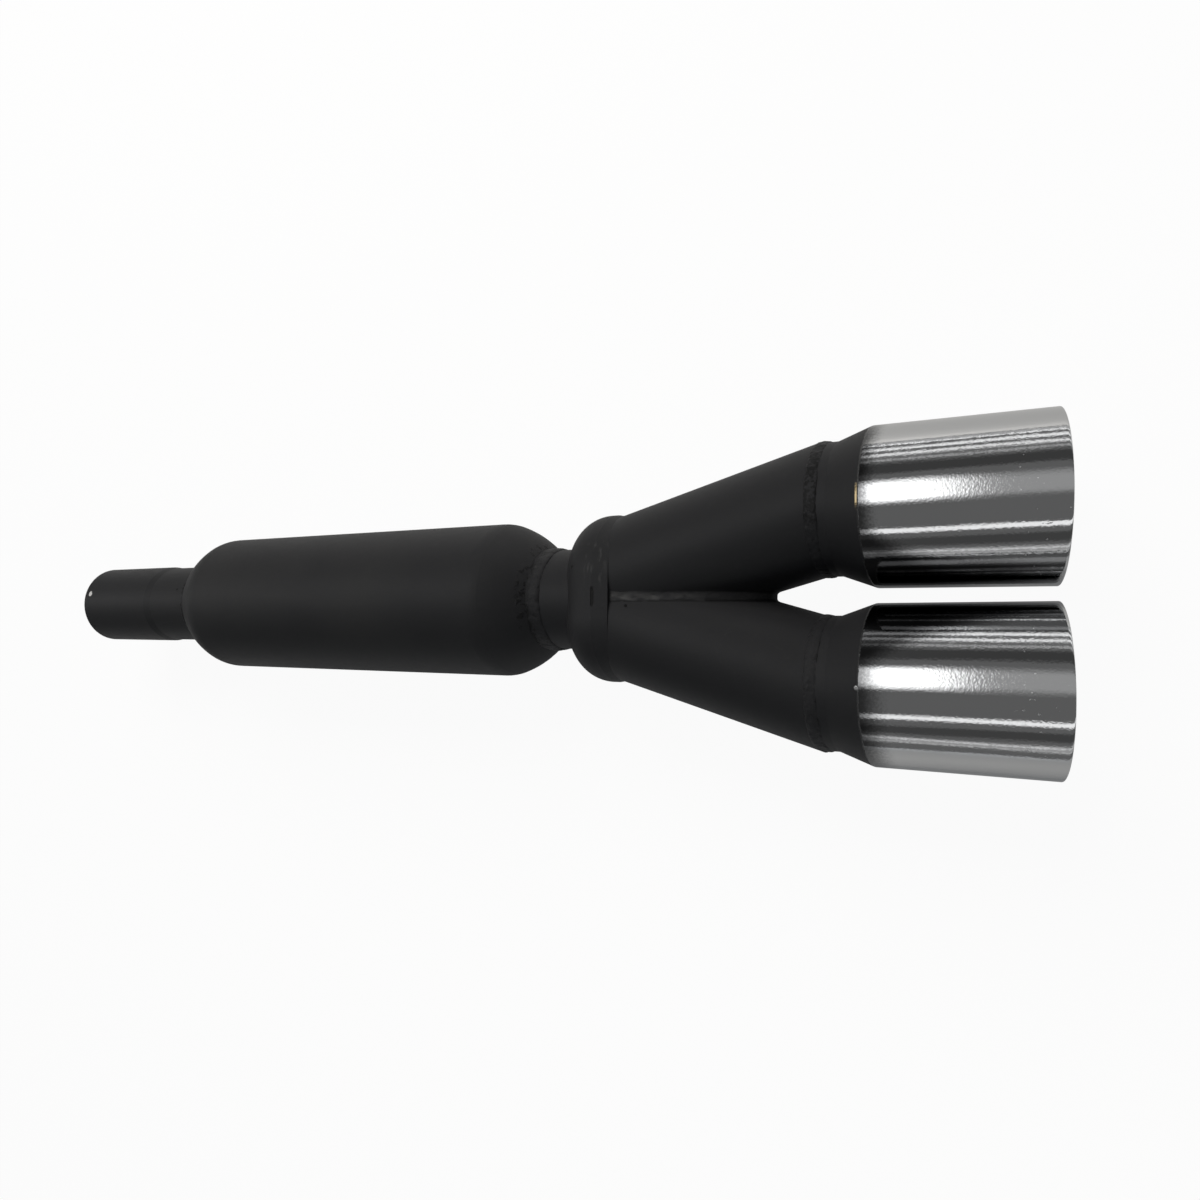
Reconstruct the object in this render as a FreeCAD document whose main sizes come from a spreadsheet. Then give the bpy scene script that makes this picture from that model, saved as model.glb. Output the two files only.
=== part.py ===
"""Twin exhaust tip: a straight-through silencer that forks into two chromed tips.

The origin is the centre of the inlet mouth, +X runs with the gas and +Z is up.
The fork lies in the XY plane.
"""
import FreeCAD, Part
import math
import os
import Sketcher
from FreeCAD import Vector

DIMENSIONS = [
    ("wall", 1.5, "wall of the pipes, the shell and the cup"),
    ("slip", 0.05, "gap between pieces that slide together"),
    ("root_gap", 0.6, "gap under a butt weld"),
    ("socket_bore", 51, "slips over a 50.8 mm pipe"),
    ("socket_length", 70, "straight part of the socket"),
    ("socket_taper", 6, "swage from the socket down to the pipe"),
    ("pipe_diameter", 52.4, "inlet and outlet pipe, outside"),
    ("inlet_end", 132, "end of the inlet pipe inside the shell"),
    ("outlet_start", 384, "start of the outlet pipe inside the shell"),
    ("outlet_end", 420, "end of the outlet pipe inside the cup"),
    ("shell_diameter", 88, "resonator, outside"),
    ("inlet_shoulder", 146, "where the inlet end starts to draw in"),
    ("outlet_shoulder", 370, "where the outlet end starts to draw in"),
    ("shoulder_radius", 22, "first arc of a spun end"),
    ("shoulder_turn", 20, "degrees turned by that arc"),
    ("crown_radius", 60, "second arc of a spun end"),
    ("lip_length", 2.5, "straight lip of a spun end"),
    ("core_gap", 0.1, "play between the core and what holds it"),
    ("core_wall", 1, "wall of the drilled core"),
    ("core_start", 120, "core inside the inlet pipe"),
    ("core_end", 396, "core inside the outlet pipe"),
    ("hole_diameter", 8, "hole in the core"),
    ("hole_start", 158, "first row of holes"),
    ("hole_pitch", 22, "from one row of holes to the next"),
    ("packing_start", 150, "glass wool"),
    ("packing_end", 366, "glass wool"),
    ("cup_floor", 421, "back of the cup"),
    ("cup_rim", 444, "open rim of the cup"),
    ("cup_width", 90.6, "oval section, outside"),
    ("cup_height", 67.6, "oval section, outside"),
    ("cup_corner", 20, "round from the back into the oval wall"),
    ("rim_weld_length", 9, "bead that closes the rim down to the branches"),
    ("rim_weld_slope", 10, "degrees that this bead falls"),
    ("branch_diameter", 63.5, "branch pipe, outside"),
    ("branch_angle", 15.6, "degrees between a branch and the middle plane"),
    ("branch_cross", 406, "where the two branch axes meet"),
    ("branch_start", 438, "cut inside the cup"),
    ("branch_end", 557.5, "square cut where the tips begin"),
    ("crotch_bead", 4.2, "radius of the bead between the branches"),
    ("crotch_lift", 3.4, "how far this bead stands out of the valley"),
    ("tip_wall", 1.2, "wall of a tip"),
    ("tip_spacing", 83.8, "between the tip axes"),
    ("collar_diameter", 65, "narrow start of a tip"),
    ("collar_end", 565, "where the cone starts"),
    ("cone_end", 581.5, "where the tip body starts"),
    ("tip_diameter", 76.8, "tip body at the cone"),
    ("mouth_diameter", 78, "tip body at the mouth"),
    ("mouth_place", 658.2, "slanting mouth, on the tip axis"),
    ("mouth_slant", 12.2, "degrees that the mouth leans forward at the top"),
    ("tip_round", 3, "round at the corners of the cone"),
    ("bead_width", 3.6, "half width of a ring weld"),
    ("bead_height", 1.1, "crown of a ring weld over the pipe"),
    ("neck_bead", 2.4, "crown of the bead between the shell and the cup"),
]
ROWS_OF_HOLES = 5
HOLES_ACROSS = 5
LONG = 400

doc = FreeCAD.newDocument("TwinExhaustTip")
sheet = doc.addObject("Spreadsheet::Sheet", "Size")
for row, (alias, value, note) in enumerate(DIMENSIONS, start=1):
    sheet.set(f"A{row}", alias)
    sheet.set(f"B{row}", str(value))
    sheet.setAlias(f"B{row}", alias)
    sheet.set(f"C{row}", note)
doc.recompute()

PIPE_R = "Size.pipe_diameter / 2"
SLEEVE_R = f"({PIPE_R} + Size.slip)"
NECK_R = f"({SLEEVE_R} + Size.wall)"
SHELL_R = "Size.shell_diameter / 2"
CORE_R = f"({PIPE_R} - Size.wall - Size.core_gap)"
BRANCH_R = "Size.branch_diameter / 2"
COLLAR_R = "Size.collar_diameter / 2"
TIP_START = "(Size.branch_end + Size.root_gap)"


def add_body(name):
    """A body whose label names its file."""
    body = doc.addObject("PartDesign::Body", name)
    body.Label = name
    return body


def origin_part(body, role):
    """A plane or an axis of the body's own origin."""
    return [feature for feature in body.Origin.OriginFeatures if feature.Role == role][0]


def add_sketch(body, name, plane, shift=None):
    """A sketch on an origin plane, moved along its normal by an expression."""
    sketch = body.newObject("Sketcher::SketchObject", name)
    sketch.AttachmentSupport = [(origin_part(body, plane), "")]
    sketch.MapMode = "FlatFace"
    if shift:
        sketch.setExpression("AttachmentOffset.Base.z", shift)
    return sketch


def pin(sketch, side, end, axis, expression):
    """Holds a point at a distance from the sketch origin."""
    value = sketch.evalExpression(expression)
    if abs(value) < 1e-9:
        sketch.addConstraint(Sketcher.Constraint("PointOnObject", side, end, -2 if axis == "X" else -1))
        return
    ends = (-1, 1, side, end) if value > 0 else (side, end, -1, 1)
    number = sketch.addConstraint(Sketcher.Constraint("Distance" + axis, *ends, abs(value)))
    sketch.setExpression(f"Constraints[{number}]", expression if value > 0 else f"-({expression})")


def arc_between(here, there, radius, clockwise):
    """The short arc from one point to another, always stored anticlockwise."""
    chord = there - here
    across = Vector(chord.y, -chord.x, 0).normalize()
    depth = math.sqrt(max(radius ** 2 - (chord.Length / 2) ** 2, 0))
    centre = (here + there) / 2 + across * (depth if clockwise else -depth)
    first, last = (there, here) if clockwise else (here, there)
    angles = [math.atan2(point.y - centre.y, point.x - centre.x) for point in (first, last)]
    return Part.ArcOfCircle(Part.Circle(centre, Vector(0, 0, 1), radius), *angles)


def draw(sketch, corners):
    """Draws a closed outline of corners (x, y).

    Where an arc leaves a corner it is (x, y, radius, clockwise), or (x, y, radius) for a clockwise half
    circle whose centre is level with the corner.
    """
    places = [Vector(sketch.evalExpression(c[0]), sketch.evalExpression(c[1]), 0) for c in corners]
    sides = []
    for number, corner in enumerate(corners):
        here = places[number]
        there = places[(number + 1) % len(places)]
        if len(corner) == 2:
            side = sketch.addGeometry(Part.LineSegment(here, there))
            sides.append((side, 1, 2))
            continue
        radius = sketch.evalExpression(corner[2])
        clockwise = corner[-1] is not False
        side = sketch.addGeometry(arc_between(here, there, radius, clockwise))
        sides.append((side, 2, 1) if clockwise else (side, 1, 2))
    for number, corner in enumerate(corners):
        side, start, end = sides[number]
        following, following_start, _ = sides[(number + 1) % len(sides)]
        sketch.addConstraint(Sketcher.Constraint("Coincident", side, end, following, following_start))
        pin(sketch, side, start, "X", corner[0])
        pin(sketch, side, start, "Y", corner[1])
        if len(corner) == 3:
            pin(sketch, side, 3, "X", corner[0])
        elif len(corner) == 4:
            radius = sketch.evalExpression(corner[2])
            held = sketch.addConstraint(Sketcher.Constraint("Radius", side, radius))
            sketch.setExpression(f"Constraints[{held}]", corner[2])


def draw_circle(sketch, across, radius):
    """Draws a circle whose centre lies on the horizontal axis."""
    centre = Vector(sketch.evalExpression(across), 0, 0)
    ring = sketch.addGeometry(Part.Circle(centre, Vector(0, 0, 1), sketch.evalExpression(radius)))
    pin(sketch, ring, 3, "X", across)
    sketch.addConstraint(Sketcher.Constraint("PointOnObject", ring, 3, -1))
    held = sketch.addConstraint(Sketcher.Constraint("Radius", ring, sketch.evalExpression(radius)))
    sketch.setExpression(f"Constraints[{held}]", radius)


def revolve(name, corners):
    """A body turned about the X axis from its outline in the XY plane."""
    body = add_body(name)
    sketch = add_sketch(body, name + "_outline", "XY_Plane")
    draw(sketch, corners)
    turned = body.newObject("PartDesign::Revolution", name + "_turned")
    turned.Profile = sketch
    turned.ReferenceAxis = (sketch, ["H_Axis"])
    turned.Angle = 360
    return body


def pad(body, name, sketch, length, taper=None):
    """Raises a sketch along +X."""
    feature = body.newObject("PartDesign::Pad", name)
    feature.Profile = sketch
    feature.setExpression("Length", length)
    if taper:
        feature.setExpression("TaperAngle", taper)
    return feature


def fillet(body, name, base, edges, radius):
    """Rounds the edges of a feature that a test picks."""
    doc.recompute()
    names = [f"Edge{n}" for n, edge in enumerate(base.Shape.Edges, start=1) if edges(edge)]
    feature = body.newObject("PartDesign::Fillet", name)
    feature.Base = (base, names)
    feature.setExpression("Radius", radius)
    return feature


def combine(kind, name, base, tool):
    """A boolean of two objects, labelled with its node's name."""
    feature = doc.addObject(kind, name)
    feature.Base = base
    feature.Tool = tool
    feature.Label = name
    return feature


def tube(name, start, end, outside, inside):
    """A plain round tube on the X axis."""
    return revolve(name, [(start, outside), (end, outside), (end, inside), (start, inside)])


def make_inlet_pipe():
    """The pipe whose open end is swaged out into the socket."""
    bore = "Size.socket_bore / 2"
    swage_end = "Size.socket_length + Size.socket_taper"
    return revolve("inlet_pipe", [
        ("0", f"{bore} + Size.wall"),
        ("Size.socket_length", f"{bore} + Size.wall"),
        (swage_end, PIPE_R),
        ("Size.inlet_end", PIPE_R),
        ("Size.inlet_end", f"{PIPE_R} - Size.wall"),
        (swage_end, f"{PIPE_R} - Size.wall"),
        ("Size.socket_length", bore),
        ("0", bore),
    ])


def spun_end(shoulder, side, inset):
    """Shoulder, change of arc and mouth of a spun end; side is + at the outlet and - at the inlet."""
    turn = "Size.shoulder_turn"
    first = f"(Size.shoulder_radius - {inset})"
    drop = "(Size.crown_radius - Size.shoulder_radius)"
    centre_r = f"({SHELL_R} - Size.shoulder_radius)"
    lip_r = f"({NECK_R} - {inset})"
    reach = f"sqrt((Size.crown_radius - {inset})^2 - ({lip_r} - {centre_r} + {drop} * cos({turn}))^2)"
    return [
        (shoulder, f"{SHELL_R} - {inset}"),
        (f"{shoulder} {side} {first} * sin({turn})", f"{centre_r} + {first} * cos({turn})"),
        (f"{shoulder} {side} ({reach} - {drop} * sin({turn}))", lip_r),
    ]


def make_shell():
    """The resonator shell, spun down onto the pipes at both ends, with one wall thickness all over."""
    corners = []
    outer_in = spun_end("Size.inlet_shoulder", "-", "0")
    outer_out = spun_end("Size.outlet_shoulder", "+", "0")
    inner_in = spun_end("Size.inlet_shoulder", "-", "Size.wall")
    inner_out = spun_end("Size.outlet_shoulder", "+", "Size.wall")
    lip_in = f"{outer_in[2][0]} - Size.lip_length"
    lip_out = f"{outer_out[2][0]} + Size.lip_length"
    corners.append((lip_in, outer_in[2][1]))
    corners.append((*outer_in[2], "Size.crown_radius", True))
    corners.append((*outer_in[1], "Size.shoulder_radius", True))
    corners.append(outer_in[0])
    corners.append((*outer_out[0], "Size.shoulder_radius", True))
    corners.append((*outer_out[1], "Size.crown_radius", True))
    corners.append(outer_out[2])
    corners.append((lip_out, outer_out[2][1]))
    corners.append((lip_out, inner_out[2][1]))
    corners.append((*inner_out[2], "Size.crown_radius - Size.wall", False))
    corners.append((*inner_out[1], "Size.shoulder_radius - Size.wall", False))
    corners.append(inner_out[0])
    corners.append((*inner_in[0], "Size.shoulder_radius - Size.wall", False))
    corners.append((*inner_in[1], "Size.crown_radius - Size.wall", False))
    corners.append(inner_in[2])
    corners.append((lip_in, inner_in[2][1]))
    return revolve("resonator_shell", corners), lip_in, lip_out, outer_out[2][0]


def make_core():
    """The drilled core: two sets of rows, a quarter turn apart, which staggers their holes."""
    body = tube("perforated_core", "Size.core_start", "Size.core_end", CORE_R, f"{CORE_R} - Size.core_wall")
    for first, plane in enumerate(("XY_Plane", "XZ_Plane")):
        sketch = add_sketch(body, f"holes_{first}", plane)
        for row in range(ROWS_OF_HOLES):
            place = f"Size.hole_start + Size.hole_pitch * {2 * row + first}"
            draw_circle(sketch, place, "Size.hole_diameter / 2")
        drilled = body.newObject("PartDesign::Pocket", f"drilled_{first}")
        drilled.Profile = sketch
        drilled.Type = "ThroughAll"
        drilled.SideType = "Symmetric"
        ring = body.newObject("PartDesign::PolarPattern", f"ring_{first}")
        ring.Originals = [drilled]
        ring.Axis = (origin_part(body, "X_Axis"), [""])
        ring.Angle = 180 - 180 / HOLES_ACROSS
        ring.Occurrences = HOLES_ACROSS
        body.Tip = ring
    return body


def make_packing():
    """The ring of glass wool between the core and the shell."""
    outside = f"{SHELL_R} - Size.wall - Size.core_gap"
    return tube("packing", "Size.packing_start", "Size.packing_end", outside, f"{CORE_R} + Size.core_gap")


def draw_oval(sketch, inset):
    """An oval with round ends and flat top and bottom."""
    radius = f"Size.cup_height / 2 - {inset}"
    flat = "(Size.cup_width - Size.cup_height) / 2"
    draw(sketch, [
        (f"-({flat})", radius),
        (flat, radius, radius),
        (flat, f"-({radius})"),
        (f"-({flat})", f"-({radius})", radius),
    ])


def at_place(place):
    """A test for edges that lie in one plane across the X axis."""
    return lambda edge: abs(edge.BoundBox.XMin - place) < 1e-4 and abs(edge.BoundBox.XMax - place) < 1e-4


def add_cup_form(name, inset, neck_start, neck_radius):
    """The closed form of the cup's outside, or of the space within its wall."""
    body = add_body(name)
    floor = f"(Size.cup_floor + {inset})"
    oval = add_sketch(body, name + "_oval", "YZ_Plane", floor)
    draw_oval(oval, inset)
    block = pad(body, name + "_block", oval, f"Size.cup_rim - {floor}")
    fillet(body, name + "_crown", block, at_place(body.evalExpression(floor)), f"Size.cup_corner - {inset}")
    ring = add_sketch(body, name + "_ring", "YZ_Plane", neck_start)
    draw_circle(ring, "0", neck_radius)
    pad(body, name + "_neck", ring, f"{floor} + Size.cup_corner / 2 - {neck_start}")
    return body


def make_cup(neck_start):
    """The pressed oval cup with its round neck."""
    outside = add_cup_form("cup_outside", "0", neck_start, NECK_R)
    inside = add_cup_form("cup_inside", "Size.wall", neck_start, SLEEVE_R)
    return combine("Part::Cut", "splitter_cup", outside, inside)


def put_at_cross(feature, rotation):
    """Puts a feature where the branch axes meet, turned by a rotation expression."""
    place = "create(<<vector>>; Size.branch_cross; 0; 0)"
    feature.setExpression("Placement", f"create(<<placement>>; {place}; {rotation})")


def add_branch_cylinder(name, radius, side):
    """A long cylinder on the axis of one branch."""
    cylinder = doc.addObject("Part::Cylinder", name)
    cylinder.setExpression("Radius", radius)
    cylinder.Height = LONG
    put_at_cross(cylinder, f"create(<<rotation>>; {side}Size.branch_angle; 90; 0)")
    return cylinder


def make_branch(name, side):
    """One branch pipe, cut on the middle plane and square to X at both ends, and its filled outline."""
    outside = add_branch_cylinder(name + "_outside", BRANCH_R, side)
    inside = add_branch_cylinder(name + "_inside", f"{BRANCH_R} - Size.wall", side)
    room = doc.addObject("Part::Box", name + "_room")
    room.setExpression("Length", "Size.branch_end - Size.branch_start")
    room.Width = LONG
    room.Height = LONG
    room.setExpression("Placement.Base.x", "Size.branch_start")
    room.Placement.Base.y = -LONG if side == "-" else 0
    room.Placement.Base.z = -LONG / 2
    filled = combine("Part::Common", name + "_filled", outside, room)
    return combine("Part::Cut", name, filled, inside), filled


def make_cup_weld(branches):
    """The bead that closes the cup's rim down onto the branches."""
    body = add_body("rim_bead")
    oval = add_sketch(body, "rim_bead_oval", "YZ_Plane", "Size.cup_rim")
    draw_oval(oval, "0")
    pad(body, "rim_bead_pad", oval, "Size.rim_weld_length", "-Size.rim_weld_slope")
    return combine("Part::Cut", "cup_weld", body, branches)


def make_crotch_weld(branches):
    """The bead along the valley between the branches, over the top, round the crotch and back below."""
    reach = f"({BRANCH_R} / sin(Size.branch_angle) + Size.crotch_lift)"
    run = "(Size.cup_rim + Size.rim_weld_length + Size.root_gap * 2 - Size.branch_cross)"
    valley = doc.addObject("Part::Ellipse", "valley")
    valley.setExpression("MajorRadius", reach)
    valley.setExpression("MinorRadius", BRANCH_R)
    valley.Angle1 = 0
    valley.setExpression("Angle2", f"acos({run} / {reach})")
    put_at_cross(valley, "create(<<rotation>>; create(<<vector>>; 1; 0; 0); 90)")
    section = doc.addObject("Part::Circle", "bead_section")
    section.setExpression("Radius", "Size.crotch_bead")
    section.setExpression("Placement.Base.x", f"Size.branch_cross + {reach}")
    sweep = doc.addObject("Part::Sweep", "bead_sweep")
    sweep.Sections = [section]
    sweep.Spine = (valley, ["Edge1"])
    sweep.Solid = True
    sweep.Frenet = True
    upper = combine("Part::Cut", "upper_bead", sweep, branches)
    lower = doc.addObject("Part::Mirroring", "lower_bead")
    lower.Source = upper
    lower.Normal = Vector(0, 0, 1)
    return combine("Part::Fuse", "crotch_weld", upper, lower)


def make_tip(name, side):
    """One tip: collar, cone and body in one wall, with a slanting mouth."""
    mouth_far = "(Size.mouth_place + Size.mouth_diameter)"
    body = revolve(name, [
        (TIP_START, COLLAR_R),
        ("Size.collar_end", COLLAR_R),
        ("Size.cone_end", "Size.tip_diameter / 2"),
        (mouth_far, "Size.mouth_diameter / 2"),
        (mouth_far, "Size.mouth_diameter / 2 - Size.tip_wall"),
        ("Size.cone_end", "Size.tip_diameter / 2 - Size.tip_wall"),
        ("Size.collar_end", f"{COLLAR_R} - Size.tip_wall"),
        (TIP_START, f"{COLLAR_R} - Size.tip_wall"),
    ])
    body.setExpression("Placement.Base.y", f"{side}Size.tip_spacing / 2")
    slant = add_sketch(body, name + "_mouth", "XZ_Plane")
    lean = "Size.mouth_diameter * tan(Size.mouth_slant)"
    draw(slant, [
        (f"Size.mouth_place - {lean}", "-Size.mouth_diameter"),
        (f"{mouth_far} * 2", "-Size.mouth_diameter"),
        (f"{mouth_far} * 2", "Size.mouth_diameter"),
        (f"Size.mouth_place + {lean}", "Size.mouth_diameter"),
    ])
    cut = body.newObject("PartDesign::Pocket", name + "_slant")
    cut.Profile = slant
    cut.Type = "ThroughAll"
    cut.SideType = "Symmetric"
    corners = (sheet.collar_end, sheet.cone_end)

    def at_corner(edge):
        return any(at_place(place)(edge) for place in corners)

    fillet(body, name + "_rounds", cut, at_corner, "Size.tip_round")
    return body


def make_tip_weld(name, side, branch_filled):
    """The ring bead between a branch and its tip."""
    place = TIP_START
    ring = revolve(name + "_ring", [
        (f"{place} - Size.bead_width", f"{COLLAR_R} - Size.tip_wall"),
        (place, f"{COLLAR_R} - Size.tip_wall"),
        (place, COLLAR_R),
        (f"{place} + Size.bead_width", COLLAR_R),
        (place, f"{COLLAR_R} + Size.bead_height"),
        (f"{place} - Size.bead_width", COLLAR_R),
    ])
    ring.setExpression("Placement.Base.y", f"{side}Size.tip_spacing / 2")
    return combine("Part::Cut", name, ring, branch_filled)


def make_inlet_weld(lip):
    """The fillet bead between the inlet pipe and the shell's lip."""
    return revolve("inlet_weld", [
        (lip, PIPE_R),
        (lip, NECK_R),
        (f"{lip} - Size.bead_width / 2", f"{PIPE_R} + Size.bead_height"),
        (f"{lip} - Size.bead_width", PIPE_R),
    ])


def make_neck_weld(lip_end, dome_end, shell, cup):
    """The bead between the shell's outlet lip and the cup's neck."""
    ring = revolve("neck_ring_bead", [
        (f"{dome_end} - Size.bead_width / 2", NECK_R),
        (f"{lip_end} + Size.bead_width", NECK_R),
        (f"{lip_end} + Size.bead_width / 2", f"{NECK_R} + Size.bead_height"),
        (dome_end, f"{NECK_R} + Size.neck_bead"),
        (f"{dome_end} - Size.bead_width / 2", f"{NECK_R} + Size.neck_bead"),
    ])
    clear = combine("Part::Cut", "neck_bead_on_shell", ring, shell)
    return combine("Part::Cut", "neck_weld", clear, cup)


shell, lip_in, lip_out, dome_out = make_shell()
cup = make_cup(f"({lip_out} + Size.root_gap)")
left_branch, left_filled = make_branch("left_branch", "")
right_branch, right_filled = make_branch("right_branch", "-")
branches = combine("Part::Fuse", "both_branches", left_filled, right_filled)
nodes = [
    make_inlet_pipe(),
    shell,
    make_core(),
    make_packing(),
    tube("outlet_pipe", "Size.outlet_start", "Size.outlet_end", PIPE_R, f"{PIPE_R} - Size.wall"),
    cup,
    left_branch,
    right_branch,
    make_cup_weld(branches),
    make_crotch_weld(branches),
    make_tip("left_tip", ""),
    make_tip("right_tip", "-"),
    make_tip_weld("left_tip_weld", "", left_filled),
    make_tip_weld("right_tip_weld", "-", right_filled),
    make_inlet_weld(lip_in),
    make_neck_weld(lip_out, dome_out, shell, cup),
]
doc.recompute()

failed = [item.Label for item in doc.Objects if {"Invalid", "Error"} & set(item.State)]
if failed:
    raise RuntimeError(f"failed: {failed}")
os.makedirs("parts", exist_ok=True)
for node in nodes:
    shape = node.Shape
    if shape.isNull() or not shape.isValid() or not shape.Solids:
        raise RuntimeError(f"bad shape: {node.Label}")
    print(f"{node.Label}: {len(shape.Solids)} solid, {shape.Volume / 1000:.2f} cm3")
for node in nodes:
    node.Shape.exportStep(os.path.join("parts", node.Label + ".step"))
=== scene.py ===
"""Looks of the twin exhaust tip: satin black paint over welded steel, and two bright chrome tips."""
import math

import bpy
from mathutils import Matrix, Vector, noise


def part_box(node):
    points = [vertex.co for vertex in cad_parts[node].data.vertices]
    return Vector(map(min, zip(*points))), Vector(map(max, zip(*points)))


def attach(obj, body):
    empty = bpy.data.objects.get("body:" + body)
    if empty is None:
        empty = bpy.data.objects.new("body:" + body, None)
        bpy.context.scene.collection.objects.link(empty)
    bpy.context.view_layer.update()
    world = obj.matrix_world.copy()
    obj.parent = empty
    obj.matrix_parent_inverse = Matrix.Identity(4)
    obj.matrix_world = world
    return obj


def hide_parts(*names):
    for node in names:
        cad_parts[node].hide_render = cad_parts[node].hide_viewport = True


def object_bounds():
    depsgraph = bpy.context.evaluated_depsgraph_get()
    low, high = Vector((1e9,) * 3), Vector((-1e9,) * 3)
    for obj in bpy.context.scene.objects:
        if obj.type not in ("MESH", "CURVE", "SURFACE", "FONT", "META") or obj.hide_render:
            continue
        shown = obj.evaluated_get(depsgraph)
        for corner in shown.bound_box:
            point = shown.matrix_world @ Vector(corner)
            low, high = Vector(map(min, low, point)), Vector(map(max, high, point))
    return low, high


bl_info = {
    "name": "Twin exhaust tip",
    "version": (1, 0, 0),
    "blender": (4, 5, 0),
    "location": "View3D > Sidebar > Exhaust",
    "description": "Dresses a welded exhaust silencer with paint, weld beads and chrome tips",
    "category": "Object",
}

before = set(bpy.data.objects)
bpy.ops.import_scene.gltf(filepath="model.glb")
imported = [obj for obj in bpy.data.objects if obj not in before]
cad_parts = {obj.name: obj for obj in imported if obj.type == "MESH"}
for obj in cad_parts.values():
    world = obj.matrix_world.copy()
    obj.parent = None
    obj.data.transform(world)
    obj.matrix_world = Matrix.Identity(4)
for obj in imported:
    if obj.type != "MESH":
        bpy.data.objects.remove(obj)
CAD_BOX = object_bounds()
BODY = "root"
BARE = ("perforated_core", "outlet_pipe")
SIDES = ("left", "right")
MILLIMETRE = 0.001
PAINT_GLOSS = 0.26
SMOOTH_ANGLE = math.radians(60)

# Places of marks on the paint, in millimetres, and the radii of the pits, whose dark colour is painted shade
INLET_CHIP = (5.6, 7.1, 26.0)
CONE_CHIP = (580.6, -41.7, 38.1)
PITS = (((430.8, 15.6, 30.7), 0.9), ((462.6, -5.0, 30.0), 0.9), ((104.0, 9.0, 24.6), 0.8))


def length(name, description, millimetres):
    """A size in metres, with its default written in millimetres."""
    return bpy.props.FloatProperty(
        name=name, description=description, default=millimetres * MILLIMETRE, unit="LENGTH", precision=5)


def colour(name, description, value):
    """A linear colour."""
    return bpy.props.FloatVectorProperty(
        name=name, description=description, default=value, subtype="COLOR", size=3, min=0, max=1)


class ExhaustSizes(bpy.types.PropertyGroup):
    """Sizes of the pieces that are modelled here, which follow the solids."""

    collar_radius: length("Collar radius", "Narrow start of a tip", 32.5)
    collar_end: length("Collar end", "Where the cone of a tip starts", 565)
    cone_end: length("Cone end", "Where the chrome body of a tip starts", 581.5)
    body_radius: length("Body radius", "Tip body at its cone", 38.4)
    mouth_radius: length("Mouth radius", "Tip body at its mouth", 39)
    mouth_place: length("Mouth place", "Slanting mouth, on the axis of a tip", 658.2)
    tip_wall: length("Tip wall", "Sheet of a tip", 1.2)
    cone_round: length("Cone round", "Radius at the corners of the cone", 3)
    rim_round: length("Rim round", "Softened edges of the mouth", 0.35)
    mouth_slant: bpy.props.FloatProperty(
        name="Mouth slant", description="How far the mouth leans forward at its top",
        default=math.radians(12.2), subtype="ANGLE")
    branch_radius: length("Branch radius", "Branch pipe, outside", 31.75)
    branch_cross: length("Branch crossing", "Where the axes of the branches meet", 406)
    branch_angle: bpy.props.FloatProperty(
        name="Branch angle", description="Between a branch and the middle plane",
        default=math.radians(15.6), subtype="ANGLE")
    valley_start: length("Valley start", "Where the weld between the branches leaves the cup", 452.5)
    valley_width: length("Valley width", "Half width of the weld between the branches", 2.8)
    bead_ripple: length("Bead ripple", "Height of the ripples on a bead", 0.16)
    bead_pitch: length("Bead pitch", "From one ripple of a bead to the next", 3.4)
    bead_lump: length("Bead lumps", "Height of the uneven lumps on a bead", 0.35)
    pipe_bead_radius: length("Pipe bead radius", "Middle of the bead round the inlet pipe", 26.8)
    pipe_bead_half: length("Pipe bead width", "Half width of that bead", 1.6)
    pipe_bead_height: length("Pipe bead height", "Crown of that bead", 1.0)
    neck_bead_radius: length("Neck bead radius", "Middle of the bead between the shell and the cup", 27.6)
    neck_bead_half: length("Neck bead width", "Half width of that bead", 5.0)
    neck_bead_height: length("Neck bead height", "Crown of that bead", 1.4)
    tip_bead_half: length("Tip bead width", "Half width of the bead at the start of a tip", 3.0)
    tip_bead_height: length("Tip bead height", "Crown of that bead", 0.6)
    round_steps: bpy.props.IntProperty(
        name="Round steps", description="Steps round a tip or a bead", default=224)


class ExhaustColours(bpy.types.PropertyGroup):
    """Colours of the finishes."""

    paint: colour("Paint", "Satin black heat paint", (0.0165, 0.0167, 0.0180))
    thin_paint: colour("Thin paint", "Where the paint is thin or dusty", (0.034, 0.034, 0.034))
    # Near black, used as painted shade in pits, crevices, creases and the deep crotch, and as soot on welds
    shade_and_soot: colour("Pit", "Bottom of pits and crevices", (0.003, 0.003, 0.003))
    chip: colour("Chip", "Bright metal where the paint has chipped", (0.62, 0.62, 0.62))
    chrome: colour("Chrome", "Bright chrome plating", (0.63, 0.635, 0.64))
    brass: colour("Rubbed edge", "Warm metal where the paint is rubbed through", (0.75, 0.58, 0.32))
    steel: colour("Steel", "Bare steel", (0.34, 0.33, 0.32))
    wool: colour("Wool", "Glass wool", (0.62, 0.55, 0.33))
    floor: colour("Floor", "Pale floor", (0.86, 0.86, 0.86))


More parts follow.
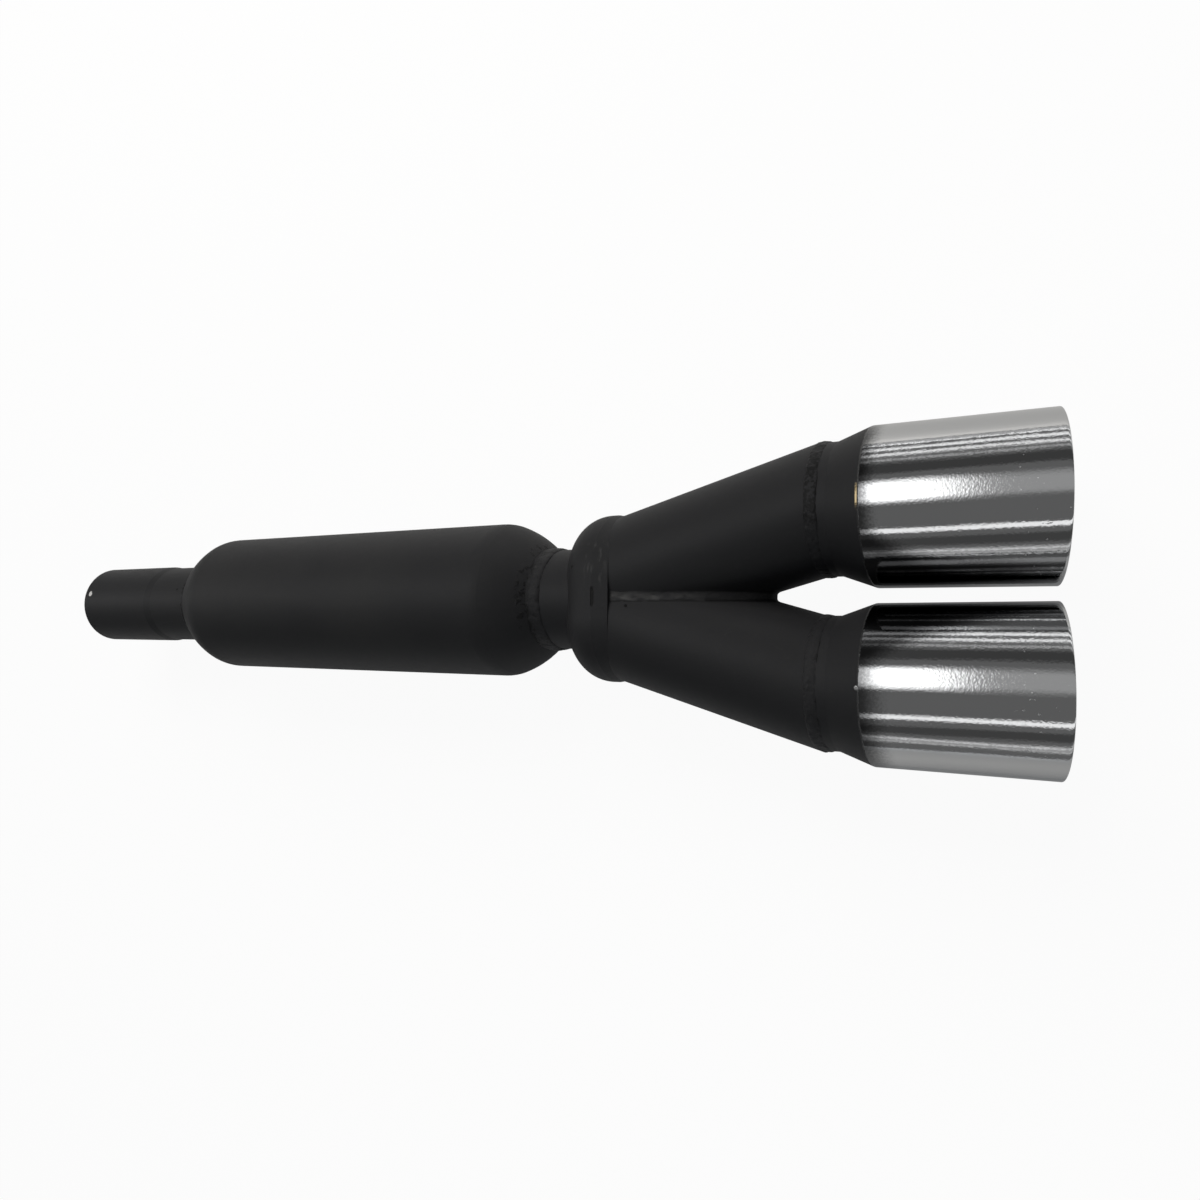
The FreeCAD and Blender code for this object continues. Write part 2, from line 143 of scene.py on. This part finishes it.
class Value:
    """A shader socket; arithmetic on it adds Math nodes."""

    def __init__(self, shades, socket):
        self.shades = shades
        self.socket = socket

    def output(self, key):
        """Another output of the same node."""
        return Value(self.shades, self.socket.node.outputs[key])

    def math(self, operation, *others):
        return self.shades.node("ShaderNodeMath", {"operation": operation}, dict(enumerate((self, *others))))

    def __add__(self, other):
        return self.math("ADD", other)

    __radd__ = __add__

    def __mul__(self, other):
        return self.math("MULTIPLY", other)

    __rmul__ = __mul__

    def __sub__(self, other):
        return self.math("SUBTRACT", other)

    def __rsub__(self, other):
        return self.shades.node("ShaderNodeMath", {"operation": "SUBTRACT"}, {0: other, 1: self})

    def __abs__(self):
        return self.math("ABSOLUTE")

    def clamp(self):
        return self.shades.node("ShaderNodeClamp", {}, {"Value": self})

    def rise(self, low, high):
        """0 below low and 1 above high, with a smooth step between."""
        return self.shades.node(
            "ShaderNodeMapRange", {"interpolation_type": "SMOOTHSTEP"},
            {"Value": self, "From Min": low, "From Max": high})

    def band(self, middle, half, soft):
        """1 near a middle value and 0 further off."""
        return 1 - abs(self - middle).rise(half, half + soft)


class Shades:
    """A node tree and the few things that are built in it."""

    def __init__(self, tree):
        self.tree = tree

    def node(self, kind, settings, values, out=0):
        """Adds a node, sets it, fills its sockets with values or links, and gives one output."""
        node = self.tree.nodes.new(kind)
        for name, value in settings.items():
            setattr(node, name, value)
        for key, value in values.items():
            if isinstance(value, Value):
                self.tree.links.new(value.socket, node.inputs[key])
            else:
                node.inputs[key].default_value = value
        return Value(self, node.outputs[out])

    def split(self, vector):
        """The three parts of a vector."""
        parts = self.node("ShaderNodeSeparateXYZ", {}, {0: vector})
        return [parts.output(axis) for axis in "XYZ"]

    def blend(self, share, first, second):
        """Mixes two colours; the colour sockets of a Mix node are its numbers 6 and 7."""
        values = {0: share}
        for key, value in ((6, first), (7, second)):
            values[key] = value if isinstance(value, Value) else (*value, 1)
        return self.node("ShaderNodeMix", {"data_type": "RGBA"}, values, 2)


class Finish(Shades):
    """A material on Object coordinates."""

    def __init__(self, name):
        self.material = bpy.data.materials.new(name)
        self.material.use_nodes = True
        super().__init__(self.material.node_tree)
        self.shader = self.tree.nodes["Principled BSDF"]
        self.place = self.node("ShaderNodeTexCoord", {}, {}, "Object")
        self.x, self.y, self.z = self.split(self.place)

    def grain(self, scale, detail=3.0, stretch=(1, 1, 1), roughness=0.5):
        """Noise from 0 to 1, with its scale in features per metre."""
        point = self.node("ShaderNodeMapping", {}, {"Vector": self.place, "Scale": stretch})
        return self.node("ShaderNodeTexNoise", {}, {
            "Vector": point, "Scale": scale, "Detail": detail, "Roughness": roughness})

    def spot(self, millimetres, radius, ragged):
        """1 inside a small ragged ball about a place in millimetres."""
        centre = Vector(millimetres) * MILLIMETRE
        away = self.node("ShaderNodeVectorMath", {"operation": "DISTANCE"}, {0: self.place, 1: centre}, 1)
        reach = radius * MILLIMETRE
        return 1 - (away + (ragged - 0.5) * (1.5 * reach)).rise(0.75 * reach, 1.1 * reach)

    def from_axis(self, across):
        """Distance from an axis along X."""
        side = self.y - across
        return (side * side + self.z * self.z).math("SQRT")

    def set(self, **values):
        """Fills sockets of the shader."""
        for name, value in values.items():
            socket = self.shader.inputs[name.replace("_", " ")]
            if isinstance(value, Value):
                self.tree.links.new(value.socket, socket)
            else:
                socket.default_value = (*value, 1) if isinstance(value, tuple) else value

    def relief(self, height):
        """Bump from a height in metres."""
        self.set(Normal=self.node("ShaderNodeBump", {}, {"Height": height, "Distance": 1}))


class Paint:
    """Brushed heat paint: its colour, roughness and height as they vary over a finish."""

    def __init__(self, finish, colours):
        cloud = finish.grain(11, 4)
        dust = finish.grain(210, 5, roughness=0.7)
        brush = finish.grain(60, 4, stretch=(0.15, 1, 1))
        peel = finish.grain(1300, 2)
        thin = cloud.rise(0.45, 0.75) * 0.3 + dust.rise(0.56, 0.8) * 0.3 + brush.rise(0.55, 0.8) * 0.15
        self.colour = finish.blend(thin.clamp(), tuple(colours.paint), tuple(colours.thin_paint))
        self.roughness = 0.44 + cloud * 0.12 + dust * 0.08
        self.height = peel * 0.00002 + dust * 0.00005
        self.dust = dust


def satin_paint(colours):
    """Paint on pipes, shell and cup: a few marks, painted shade in pits and at the cup rim, bare bores."""
    finish = Finish("satin_black_paint")
    paint = Paint(finish, colours)
    above = finish.z.rise(0.02, 0.024)
    chip = finish.spot(INLET_CHIP, 1.9, paint.dust)
    # The pits are small dents painted near black: painted shade in them
    pits = sum(finish.spot(place, radius, paint.dust) for place, radius in PITS)
    ragged = (paint.dust - 0.5) * 0.003
    # A dark dash on top of the cup at its rim: painted shade in the crease where the cup meets its weld
    rim_crease_shade = (finish.x + ragged * 0.4).band(0.4447, 0.0005, 0.0005)
    rim_crease_shade = rim_crease_shade * (finish.y + ragged).band(0, 0.0042, 0.001) * above
    streaks = finish.grain(420, 3, stretch=(1, 0.25, 1)).rise(0.54, 0.7)
    streaks = streaks * finish.x.band(0.4455, 0.004, 0.004) * finish.y.band(0.017, 0.008, 0.006) * above
    scorch = finish.grain(240, 4, roughness=0.65).rise(0.5, 0.6)
    burn = scorch * finish.x.band(0.3985, 0.0015, 0.003) * (finish.y + finish.z).rise(0.0, 0.02)
    shade = finish.blend((pits + rim_crease_shade + burn * 0.8).clamp(), paint.colour, tuple(colours.shade_and_soot))
    shade = finish.blend((streaks * 0.35).clamp(), shade, tuple(2 * c for c in colours.thin_paint))
    shade = finish.blend(chip, shade, tuple(colours.chip))
    bore = (1 - finish.from_axis(0).rise(0.0254, 0.0257)) * (1 - finish.x.rise(0.13, 0.14))
    drawn = finish.grain(90, 4, stretch=(0.08, 1, 1))
    finish.set(
        Base_Color=finish.blend(bore, shade, tuple(colours.steel)),
        Metallic=bore,
        Roughness=paint.roughness * (1 - bore) + bore * (0.34 + drawn * 0.2),
        Specular_IOR_Level=PAINT_GLOSS)
    finish.relief(paint.height - (pits + rim_crease_shade) * 0.0004 - chip * 0.0001 + burn * 0.0003)
    return finish.material


def bead_paint(colours):
    """Paint over rough weld metal, with painted shade in its crevices."""
    finish = Finish("painted_weld")
    paint = Paint(finish, colours)
    lumps = finish.grain(260, 5, roughness=0.6)
    # Painted shade: the low parts between the lumps are darkened
    crevice_shade = 1 - lumps.rise(0.34, 0.44)
    crown = lumps.rise(0.56, 0.72)
    neck = 1 - finish.x.rise(0.400, 0.405)
    tip = finish.x.rise(0.5, 0.51) * finish.y.band(0.052, 0.018, 0.004) * finish.z.rise(0.005, 0.015)
    scorch = lumps.rise(0.47, 0.53) * (neck + tip).clamp()
    shade = finish.blend((crevice_shade * 0.8 + scorch * 0.8).clamp(), paint.colour, tuple(colours.shade_and_soot))
    shade = finish.blend(crown * 0.5 * (1 - scorch), shade, tuple(colours.thin_paint))
    finish.set(Base_Color=shade, Roughness=paint.roughness - crown * 0.08, Specular_IOR_Level=PAINT_GLOSS)
    finish.relief(paint.height + lumps * 0.0006)
    return finish.material


def valley_paint(colours):
    """Paint over the valley weld: a pale smear on one side, painted shade on the other and at the crotch."""
    finish = Finish("painted_valley")
    paint = Paint(finish, colours)
    flow = finish.grain(300, 4, stretch=(0.3, 1, 1))
    side = finish.y + (flow - 0.5) * 0.007
    smear = side.band(0.0008, 0.0008, 0.0016) * (1 - finish.x.rise(0.470, 0.520)) * finish.z.rise(0, 0.004)
    # A dark line along the -Y edge of the weld: painted shade in the crease
    crease_shade = side.band(-0.0024, 0.0003, 0.0012) * 0.7
    shade = finish.blend(crease_shade, paint.colour, tuple(colours.shade_and_soot))
    patch = finish.grain(90, 2).rise(0.35, 0.6)
    pale = tuple(1.6 * c for c in colours.thin_paint)
    shade = finish.blend(smear * flow.rise(0.3, 0.6) * patch, shade, pale)
    # Darker towards the crotch: painted shade deep in the valley
    shade = finish.blend(finish.x.rise(0.485, 0.53) * 0.75, shade, tuple(colours.shade_and_soot))
    finish.set(Base_Color=shade, Roughness=paint.roughness - smear * 0.06, Specular_IOR_Level=PAINT_GLOSS)
    finish.relief(paint.height + flow * 0.0007)
    return finish.material


def bare_steel(colours):
    """Drawn steel, inside."""
    finish = Finish("bare_steel")
    drawn = finish.grain(90, 4, stretch=(0.08, 1, 1))
    dull = tuple(0.6 * c for c in colours.steel)
    finish.set(
        Base_Color=finish.blend(drawn, tuple(colours.steel), dull),
        Metallic=1.0,
        Roughness=0.34 + drawn * 0.2)
    return finish.material


def glass_wool(colours):
    """Matted fibre."""
    finish = Finish("glass_wool")
    fibre = finish.grain(700, 6, stretch=(1, 0.3, 1), roughness=0.7)
    deep = tuple(0.5 * c for c in colours.wool)
    finish.set(Base_Color=finish.blend(fibre, deep, tuple(colours.wool)), Roughness=0.95)
    finish.relief(fibre * 0.002)
    return finish.material


def tip_finish(name, axis_y, sizes, colours):
    """Chrome on the body of a tip, and paint on its collar and cone with a sprayed edge between."""
    finish = Finish(name)
    paint = Paint(finish, colours)
    edge = finish.grain(900, 4, roughness=0.7)
    paint_edge = sizes.cone_end - 0.0002
    sprayed = finish.x + (edge - 0.5) * 0.0014 + (paint.dust - 0.5) * 0.001
    bare = sprayed.rise(paint_edge - 0.0005, paint_edge + 0.0005)
    # A dark film over the chrome near the cone and far along the side that faces the other tip: partly
    # overspray, partly a painted dark reflection of the other tip
    inward = ((finish.y - axis_y) * (-math.copysign(1, axis_y) / sizes.body_radius)).rise(0.3, 1.1)
    far_side = axis_y > 0
    reach = inward * (0.025 if far_side else 0.055)
    clear = paint_edge + (0.009 if far_side else 0.014)
    overspray_and_dark_reflection = 1 - (finish.x - reach + (edge - 0.5) * 0.008).rise(paint_edge, inward * 0.035 + clear)
    chip = finish.spot(CONE_CHIP, 1.1, paint.dust)
    rub = finish.x.band(paint_edge - 0.0007, 0.0004, 0.0003)
    rub = rub * (finish.y + (edge - 0.5) * 0.006).band(0.043, 0.0035, 0.003) * 0.8
    rub = rub * finish.z.rise(0, 0.01)
    bare = bare.math("MAXIMUM", chip).math("MAXIMUM", rub)
    smear = finish.grain(48, 4, stretch=(0.3, 1, 1))
    speck = finish.grain(1500, 1)
    spun_length = sizes.mouth_place + 2 * sizes.mouth_radius - sizes.cone_end
    slope = (sizes.mouth_radius - sizes.body_radius) / spun_length
    skin = finish.from_axis(axis_y) - (finish.x - sizes.cone_end) * slope
    inside = 1 - skin.rise(sizes.body_radius - 0.0009, sizes.body_radius - 0.0005)
    fleck = finish.grain(650, 2, stretch=(0.5, 1, 1)).rise(0.7, 0.74) * finish.x.rise(0.635, 0.65)
    rough = 0.045 + smear.rise(0.5, 0.85) * 0.05 + speck.rise(0.6, 0.8) * 0.05 + fleck * 0.3 + inside * 0.3
    plating = finish.blend(inside, tuple(colours.chrome), tuple(colours.steel))
    # The dark film: overspray and painted dark reflection
    plating = finish.blend(overspray_and_dark_reflection * (1 - inside) * 0.84 * (1 - chip), plating, tuple(colours.paint))
    plating = finish.blend(rub, plating, tuple(colours.brass))
    finish.set(
        Base_Color=finish.blend(bare, paint.colour, plating),
        Metallic=bare * (1 - inside * 0.6),
        Roughness=bare * rough + (1 - bare) * paint.roughness,
        Specular_IOR_Level=PAINT_GLOSS)
    wave = finish.grain(26, 2, stretch=(0.2, 1, 1))
    fine = finish.grain(110, 2, stretch=(0.06, 1, 1))
    peel = finish.grain(1000, 2)
    polish = wave * 0.0005 + fine * 0.00009 + peel * 0.000024
    finish.relief(paint.height * (1 - bare) + polish * bare)
    return finish.material


def pick_nothing():
    """Leaves edit mode and clears the selection."""
    if bpy.context.object and bpy.context.object.mode == "EDIT":
        bpy.ops.object.mode_set(mode="OBJECT")
    bpy.ops.object.select_all(action="DESELECT")


def open_piece(name):
    """Names the primitive that was just added, puts its place in its mesh and opens it."""
    piece = bpy.context.object
    piece.name = name
    piece.data.name = name
    bpy.ops.object.transform_apply(location=True, rotation=True, scale=True)
    bpy.ops.object.mode_set(mode="EDIT")
    bpy.ops.mesh.select_all(action="SELECT")
    return piece


def spin_closed(centre, steps):
    """Spins what is selected once round an axis along X, and closes the join with its faces outwards."""
    bpy.ops.mesh.spin(steps=steps, angle=2 * math.pi, center=centre, axis=(1, 0, 0))
    bpy.ops.mesh.select_all(action="SELECT")
    bpy.ops.mesh.remove_doubles(threshold=1e-6)
    bpy.ops.mesh.normals_make_consistent(inside=False)


def apply_modifier(piece, kind, **settings):
    """Adds a modifier, sets it and applies it."""
    modifier = piece.modifiers.new(kind.title(), kind)
    for name, value in settings.items():
        setattr(modifier, name, value)
    bpy.ops.object.modifier_apply(modifier=modifier.name)


def finish_piece(piece, material, slot, *nodes):
    """Gives a piece its material and lets it stand for its solids."""
    piece.data.materials.clear()
    piece.data.materials.append(material)
    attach(piece, BODY)
    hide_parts(*nodes)


def roughen(piece, lift):
    """Moves each vertex out along its normal, by a function of its place."""
    moves = [vertex.normal * lift(vertex.co) for vertex in piece.data.vertices]
    for vertex, move in zip(piece.data.vertices, moves):
        vertex.co += move


def rounded_corner(before, corner, after, radius, steps=6):
    """Points of the arc that rounds a corner of an outline."""
    into = (before - corner).normalized()
    out = (after - corner).normalized()
    half = into.angle(out) / 2
    centre = corner + (into + out).normalized() * (radius / math.sin(half))
    first = corner + into * (radius / math.tan(half)) - centre
    last = corner + out * (radius / math.tan(half)) - centre
    turn = first.angle_signed(last)
    return [centre + Matrix.Rotation(-turn * step / steps, 2) @ first for step in range(steps + 1)]


class EXHAUST_OT_paint(bpy.types.Operator):
    """Paints the pipes, the shell and the cup, and gives the inner pieces their own finish"""

    bl_idname = "exhaust.paint"
    bl_label = "Paint the pipes"

    def execute(self, context):
        colours = context.scene.exhaust_colours
        paint = satin_paint(colours)
        steel = bare_steel(colours)
        wool = glass_wool(colours)
        for name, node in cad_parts.items():
            finish = paint
            if name in BARE:
                finish = steel
            elif name == "packing":
                finish = wool
            node.data.materials.clear()
            node.data.materials.append(finish)
        return {"FINISHED"}


class EXHAUST_OT_welds(bpy.types.Operator):
    """Lays the ring beads round the pipe, the neck and the ends of the branches"""

    bl_idname = "exhaust.welds"
    bl_label = "Lay the ring welds"

    def execute(self, context):
        sizes = context.scene.exhaust_sizes
        sunk = 0.1 * MILLIMETRE
        material = bead_paint(context.scene.exhaust_colours)
        low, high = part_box("inlet_weld")
        centre = Vector((high.x - sizes.pipe_bead_half / 2, 0, sizes.pipe_bead_radius))
        self.lay("inlet_weld", centre, sizes.pipe_bead_half, sizes.pipe_bead_height, sizes, material)
        low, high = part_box("neck_weld")
        centre = Vector((low.x + sizes.neck_bead_half, 0, sizes.neck_bead_radius))
        self.lay("neck_weld", centre, sizes.neck_bead_half, sizes.neck_bead_height, sizes, material)
        for side in SIDES:
            node = side + "_tip_weld"
            low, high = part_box(node)
            centre = (low + high) / 2
            centre.z = sizes.collar_radius - sunk
            self.lay(node, centre, sizes.tip_bead_half, sizes.tip_bead_height, sizes, material)
        return {"FINISHED"}

    def lay(self, node, centre, half_width, height, sizes, material):
        """One bead: an oval section above the axis of the pipe, spun round it, with ripples and lumps."""
        pick_nothing()
        bpy.ops.mesh.primitive_circle_add(
            vertices=22, radius=1, location=centre, rotation=(math.pi / 2, 0, 0))
        piece = open_piece(node + "_bead")
        bpy.ops.transform.resize(value=(half_width, 1, height), center_override=centre)
        spin_closed((centre.x, centre.y, 0), sizes.round_steps)
        bpy.ops.object.mode_set(mode="OBJECT")
        sweep = 0.8
        lumps_per_metre = 170

        def lift(point):
            turn = math.atan2(point.y - centre.y, point.z)
            along = turn * centre.z / sizes.bead_pitch + abs(point.x - centre.x) / half_width * sweep
            lump = noise.fractal(point * lumps_per_metre, 1.0, 2.0, 3) * sizes.bead_lump
            return sizes.bead_ripple * math.cos(2 * math.pi * along) / 2 + lump

        roughen(piece, lift)
        bpy.ops.object.shade_smooth_by_angle(angle=SMOOTH_ANGLE)
        finish_piece(piece, material, "painted_weld", node)


class EXHAUST_OT_valley(bpy.types.Operator):
    """Fills the valley between the branches with its weld, over the top and round the crotch"""

    bl_idname = "exhaust.valley"
    bl_label = "Weld the branches together"

    def execute(self, context):
        sizes = context.scene.exhaust_sizes
        pick_nothing()
        bpy.ops.mesh.primitive_grid_add(x_subdivisions=260, y_subdivisions=28, size=2)
        piece = open_piece("valley_weld")
        bpy.ops.object.mode_set(mode="OBJECT")
        for vertex in piece.data.vertices:
            vertex.co = self.point((vertex.co.x + 1) / 2, vertex.co.y, sizes)
        piece.data.update()
        width = sizes.valley_width
        lump_height = 0.8 * sizes.bead_lump
        lumps_per_metre = 140

        def lift(point):
            crown = max(0, 1 - (point.y / width) ** 2)
            return crown * noise.fractal(point * lumps_per_metre, 1.0, 2.0, 3) * lump_height

        roughen(piece, lift)
        apply_modifier(piece, "SOLIDIFY", thickness=MILLIMETRE, offset=-1)
        bpy.ops.object.shade_smooth_by_angle(angle=SMOOTH_ANGLE)
        finish_piece(piece, valley_paint(context.scene.exhaust_colours), "painted_weld", "crotch_weld")
        return {"FINISHED"}

    def point(self, run, share, sizes):
        """A point of a hollow fillet that meets both branches smoothly.

        A branch at a distance d from the middle plane has x = cross + (R sin t + d cos a) / sin a and
        z = R cos t. Across the fillet d is blunt in the middle and touches |y| at both edges.
        """
        across = share * sizes.valley_width
        stand = sizes.valley_width * (share ** 4 + 3) / 4
        rise = math.sin(sizes.branch_angle)
        spread = stand * math.cos(sizes.branch_angle)
        first = math.asin(((sizes.valley_start - sizes.branch_cross) * rise - spread) / sizes.branch_radius)
        turn = first + (math.pi - 2 * first) * run
        along = sizes.branch_cross + (sizes.branch_radius * math.sin(turn) + spread) / rise
        return Vector((along, across, sizes.branch_radius * math.cos(turn)))


class EXHAUST_OT_tips(bpy.types.Operator):
    """Spins the two tips from their outline, cuts their slanting mouths and gives them a wall"""

    bl_idname = "exhaust.tips"
    bl_label = "Make the tips"

    def execute(self, context):
        sizes = context.scene.exhaust_sizes
        for side in SIDES:
            low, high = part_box(side + "_tip")
            self.make(side, low.x, (low.y + high.y) / 2, sizes, context.scene.exhaust_colours)
        return {"FINISHED"}

    def outline(self, start, sizes):
        """Collar, cone and body as places along X and radii, rounded at both corners of the cone."""
        collar = Vector((start, sizes.collar_radius))
        collar_end = Vector((sizes.collar_end, sizes.collar_radius))
        cone_end = Vector((sizes.cone_end, sizes.body_radius))
        mouth = Vector((sizes.mouth_place + 2 * sizes.mouth_radius, sizes.mouth_radius))
        points = [collar]
        points += rounded_corner(collar, collar_end, cone_end, sizes.cone_round)
        points += rounded_corner(collar_end, cone_end, mouth, sizes.cone_round)
        points.append(points[-1].lerp(mouth, 0.004))
        points.append(points[-1].lerp(mouth, 0.02))
        return points + [mouth]

    def make(self, side, start, middle, sizes, colours):
        points = self.outline(start, sizes)
        pick_nothing()
        bpy.ops.mesh.primitive_plane_add(size=MILLIMETRE, location=(points[0].x, middle, points[0].y))
        piece = open_piece(side + "_chrome_tip")
        bpy.ops.mesh.merge(type="CENTER")
        for here, there in zip(points, points[1:]):
            step = there - here
            bpy.ops.mesh.extrude_region_move(TRANSFORM_OT_translate={"value": (step.x, 0, step.y)})
        bpy.ops.mesh.select_all(action="SELECT")
        spin_closed((0, middle, 0), sizes.round_steps)
        facing = (math.cos(sizes.mouth_slant), 0, -math.sin(sizes.mouth_slant))
        bpy.ops.mesh.bisect(plane_co=(sizes.mouth_place, middle, 0), plane_no=facing, clear_outer=True)
        for behind in (1, 4):
            bpy.ops.mesh.select_all(action="SELECT")
            place = sizes.mouth_place - behind * sizes.tip_wall
            bpy.ops.mesh.bisect(plane_co=(place, middle, 0), plane_no=facing)
        bpy.ops.object.mode_set(mode="OBJECT")
        apply_modifier(piece, "SOLIDIFY", thickness=sizes.tip_wall, offset=-1, use_even_offset=True)
        apply_modifier(piece, "BEVEL", width=sizes.rim_round, segments=2, limit_method="ANGLE",
                       angle_limit=math.radians(60))
        bpy.ops.object.shade_smooth_by_angle(angle=math.radians(35))
        finish_piece(piece, tip_finish(side + "_tip_finish", middle, sizes, colours), "chrome", side + "_tip")


class EXHAUST_OT_stage(bpy.types.Operator):
    """Lays the pale floor, hangs the lamps and sets up the camera"""

    bl_idname = "exhaust.stage"
    bl_label = "Set the stage"

    def execute(self, context):
        self.lay_floor(context.scene.exhaust_colours)
        self.light_room(context.scene)
        self.hang_lamp("key", (0.25, 1.25, 1.05), 1.1, 27, (1.0, 0.97, 0.92))
        self.hang_lamp("fill", (0.35, -1.5, 0.1), 1.0, 6, (0.92, 0.96, 1.0))
        self.set_camera(context.scene)
        context.scene.view_settings.view_transform = "Standard"
        return {"FINISHED"}

    def seen(self, shades):
        """What kind of ray meets a surface: straight from the camera or through glass, or by a reflection."""
        ray = shades.node("ShaderNodeLightPath", {}, {})
        straight = ray.output("Is Camera Ray") + ray.output("Is Transmission Ray")
        return straight.clamp(), ray.output("Is Glossy Ray")

    def lay_floor(self, colours):
        """A floor that looks white and keeps a faint shadow."""
        pick_nothing()
        low, high = CAD_BOX
        gap = 0.2 * MILLIMETRE
        bpy.ops.mesh.primitive_plane_add(size=12, location=(high.x / 2, 0, low.z - gap))
        floor = bpy.context.object
        floor.name = "floor"
        bpy.ops.object.transform_apply(location=True, rotation=True, scale=True)
        finish = Finish("pale_floor")
        finish.set(Base_Color=tuple(colours.floor), Roughness=0.9)
        straight, mirrored = self.seen(finish)
        white = finish.node("ShaderNodeEmission", {}, {"Strength": straight + mirrored * 0.4})
        plain = Value(finish, finish.shader.outputs["BSDF"])
        share = 0.45 + straight * 0.5 - mirrored * 0.05
        mixed = finish.node("ShaderNodeMixShader", {}, {0: share, 1: plain, 2: white})
        finish.tree.links.new(mixed.socket, finish.tree.nodes["Material Output"].inputs["Surface"])
        floor.data.materials.append(finish.material)

    def light_room(self, scene):
        """Plain grey light, and for reflections a dim room with a ceiling lamp and strips at its sides.

        A place in the room is the angle about X from straight up, in degrees, positive towards +Y.
        """
        scene.world = bpy.data.worlds.new("room")
        scene.world.use_nodes = True
        shades = Shades(scene.world.node_tree)
        along, across, up = shades.split(shades.node("ShaderNodeTexCoord", {}, {}, "Generated"))
        angle = across.math("ARCTAN2", up) * math.degrees(1)
        slats = shades.node("ShaderNodeTexNoise", {"noise_dimensions": "1D"}, {
            "W": angle, "Scale": 0.2, "Detail": 2})
        uneven = shades.node("ShaderNodeTexNoise", {"noise_dimensions": "1D"}, {
            "W": angle, "Scale": 0.09, "Detail": 1})
        slats = slats.rise(0.44, 0.56) * uneven.rise(0.25, 0.6)
        lamp = 0.25 + 2.4 * along.band(-0.315, 0.105, 0.085) + (1 - along.rise(-0.5, -0.4))
        lamp = angle.band(13, 7, 12) * lamp
        window = angle.band(73, 13, 5) * (0.02 + slats * 0.9) + angle.band(91, 1.5, 2) * 0.4
        strip = angle.band(-40, 1.6, 3) * 0.85 + angle.band(-76, 3, 4) * (0.2 + slats * 0.5)
        dark = angle.band(46, 5, 5) * 0.09 + angle.band(-58, 4, 5) * 0.08
        near = 0.2 + along.rise(-0.45, -0.28) * 0.8
        room = 0.15 - dark * near + (window + strip) * near * 1.3 + lamp
        straight, mirrored = self.seen(shades)
        other = (1 - straight - mirrored).clamp()
        back = scene.world.node_tree.nodes["Background"]
        tint = shades.blend(other, (1, 1, 1), (0.82, 0.91, 1.0))
        strength = straight + mirrored * room + other * 0.08
        shades.tree.links.new(tint.socket, back.inputs["Color"])
        shades.tree.links.new(strength.socket, back.inputs["Strength"])

    def hang_lamp(self, name, place, size, power, tint):
        """A soft lamp that is turned to the object and leaves no square in its chrome."""
        lamp = bpy.data.lights.new(name, "AREA")
        lamp.size = size
        lamp.energy = power
        lamp.color = tint
        holder = bpy.data.objects.new(name, lamp)
        bpy.context.collection.objects.link(holder)
        holder.location = place
        target = Vector((0.36, 0, 0))
        holder.rotation_euler = (target - Vector(place)).to_track_quat("-Z", "Y").to_euler()
        holder.visible_glossy = False

    def set_camera(self, scene):
        """The camera that was fitted to the outlines of the tubes, as turns from a view straight down."""
        place = (0.68666, -0.01862, 0.45121)
        swing = 0.5165
        nod = -0.0347
        lean = -0.0087
        right = Vector((math.cos(swing), 0, -math.sin(swing)))
        up = Vector((0, 1, 0))
        axes = Matrix((right, up, right.cross(up)))
        axes = Matrix.Rotation(lean, 3, "Z") @ Matrix.Rotation(nod, 3, "X") @ axes
        lens = bpy.data.cameras.new("camera")
        lens.sensor_width = 36
        lens.lens = 28.26
        holder = bpy.data.objects.new("camera", lens)
        bpy.context.collection.objects.link(holder)
        holder.matrix_world = Matrix.Translation(place) @ axes.transposed().to_4x4()
        scene.camera = holder


class EXHAUST_PT_panel(bpy.types.Panel):
    """Lists the steps that dress the exhaust"""

    bl_idname = "EXHAUST_PT_panel"
    bl_label = "Twin exhaust tip"
    bl_space_type = "VIEW_3D"
    bl_region_type = "UI"
    bl_category = "Exhaust"

    def draw(self, context):
        for operator in OPERATORS:
            self.layout.operator(operator.bl_idname)


OPERATORS = (EXHAUST_OT_paint, EXHAUST_OT_welds, EXHAUST_OT_valley, EXHAUST_OT_tips, EXHAUST_OT_stage)
CLASSES = (ExhaustSizes, ExhaustColours, *OPERATORS, EXHAUST_PT_panel)


def register():
    for item in CLASSES:
        bpy.utils.register_class(item)
    bpy.types.Scene.exhaust_sizes = bpy.props.PointerProperty(type=ExhaustSizes)
    bpy.types.Scene.exhaust_colours = bpy.props.PointerProperty(type=ExhaustColours)


def unregister():
    del bpy.types.Scene.exhaust_colours
    del bpy.types.Scene.exhaust_sizes
    for item in reversed(CLASSES):
        bpy.utils.unregister_class(item)


def main():
    """Dresses the exhaust."""
    register()
    bpy.ops.exhaust.paint()
    bpy.ops.exhaust.welds()
    bpy.ops.exhaust.valley()
    bpy.ops.exhaust.tips()
    bpy.ops.exhaust.stage()


if __name__ == "__main__":
    main()
